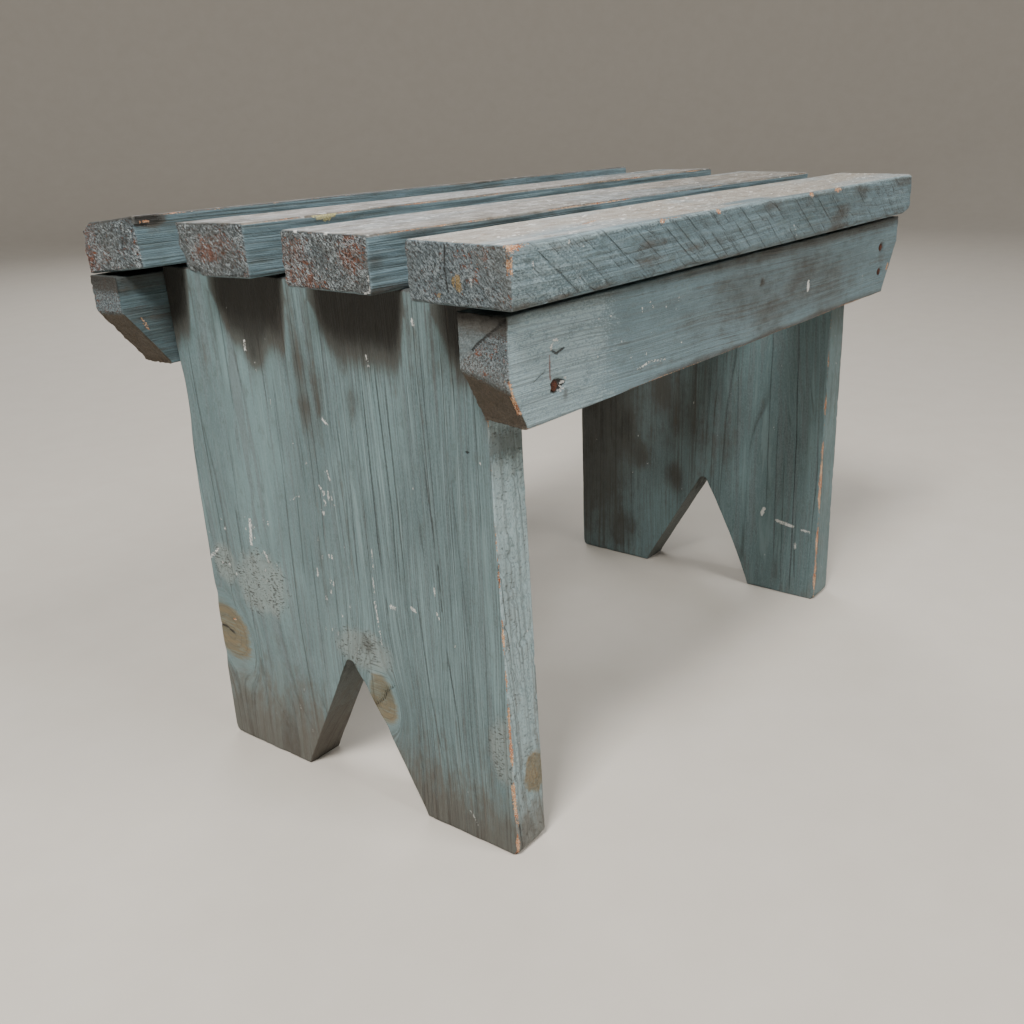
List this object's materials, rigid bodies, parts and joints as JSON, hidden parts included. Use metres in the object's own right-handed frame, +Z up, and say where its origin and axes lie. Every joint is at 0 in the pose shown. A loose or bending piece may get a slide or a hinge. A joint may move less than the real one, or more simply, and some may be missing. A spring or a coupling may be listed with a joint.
{
  "type": "step stool",
  "caption": "Low wooden step stool with a slatted seat, clipped side rails and plank legs notched into feet, nailed together.",
  "frame": {"origin": "middle of the bounding box's footprint, on the floor", "axes": "+X along the slats towards the right leg, +Y from the front rail to the back rail, +Z up"},
  "size_m": [0.375, 0.2328, 0.2613],
  "materials": {
    "slat_paint": "worn teal paint on rough-sawn softwood, tops rubbed to grey-brown",
    "rail_paint": "blue-grey paint on planed softwood, chipped at the sawn corners",
    "leg_paint": "teal paint on softwood with raised grain, knots and dirty feet",
    "nail_iron": "rusted nail heads"
  },
  "bodies": {
    "root": {"front_slat": "slat_paint", "front_middle_slat": "slat_paint", "back_middle_slat": "slat_paint", "back_slat": "slat_paint", "front_rail": "rail_paint", "back_rail": "rail_paint", "left_leg": "leg_paint", "right_leg": "leg_paint", "front_rail_nails": "nail_iron", "back_rail_nails": "nail_iron", "front_slat_nails": "nail_iron", "front_middle_slat_nails": "nail_iron", "back_middle_slat_nails": "nail_iron", "back_slat_nails": "nail_iron"}
  },
  "joints": []
}
